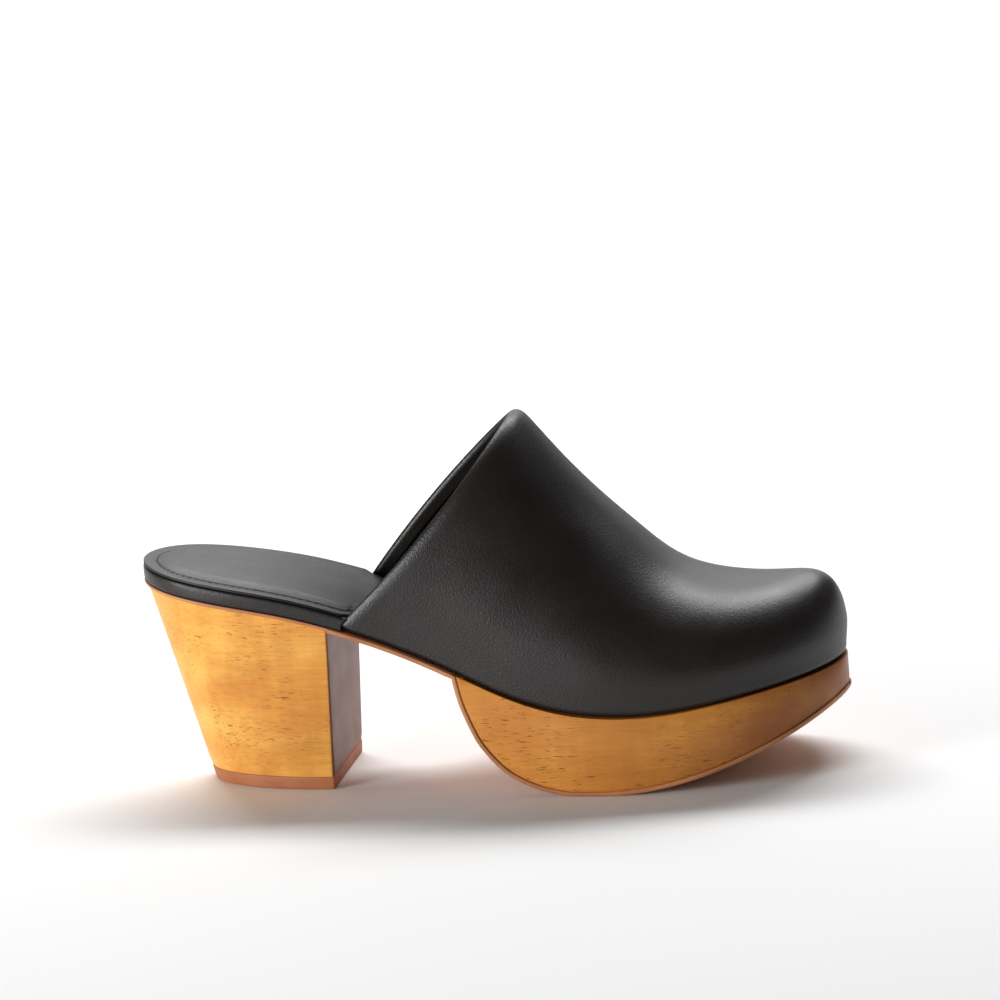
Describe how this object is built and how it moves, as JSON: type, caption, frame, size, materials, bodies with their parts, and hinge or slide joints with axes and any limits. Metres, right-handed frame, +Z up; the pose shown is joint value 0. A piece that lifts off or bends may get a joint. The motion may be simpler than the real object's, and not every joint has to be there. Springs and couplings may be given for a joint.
{
  "type": "heeled platform clog",
  "caption": "Right backless heeled clog with a wooden platform and block heel, a closed leather vamp and a padded leather insole.",
  "frame": {"origin": "on the floor, under the middle of the shoe's box", "axes": "+X from the heel to the toe, +Y to the inner side of the foot, +Z up"},
  "size_m": [0.2526, 0.0912, 0.1309],
  "materials": {
    "honey_wood": "satin clear coat over honey-stained wood with fine grain",
    "sole_leather": "smooth tan leather sole",
    "lift_rubber": "matt tan rubber",
    "black_leather": "smooth black leather with a fine grain and a soft sheen",
    "lining_leather": "black lining leather",
    "sock_leather": "smooth black leather over thin foam",
    "thread": "black waxed thread",
    "fibreboard": "brown pressed fibreboard",
    "cork": "granulated cork",
    "foam": "grey latex foam",
    "steel": "plain steel",
    "stiffener": "impregnated cloth",
    "tape": "woven reinforcing tape"
  },
  "bodies": {
    "root": {"heel_block": "honey_wood", "heel_top_lift": "lift_rubber", "platform_block": "honey_wood", "outsole": "sole_leather", "insole_board": "fibreboard", "steel_shank": "steel", "cork_filler": "cork", "insole_foam": "foam", "sock_lining": "sock_leather", "insole_edge_wrap": "black_leather", "sock_stitching": "thread", "vamp": "black_leather", "topline_tape": "tape", "vamp_lining": "lining_leather", "toe_puff": "stiffener", "heel_screw": "steel", "heel_nail_1": "steel", "heel_nail_2": "steel", "heel_nail_3": "steel", "heel_nail_4": "steel", "heel_nail_5": "steel", "lift_pin_1": "steel", "lift_pin_2": "steel", "lift_pin_3": "steel", "lift_pin_4": "steel", "shank_rivet_front": "steel", "shank_rivet_rear": "steel"}
  },
  "joints": []
}
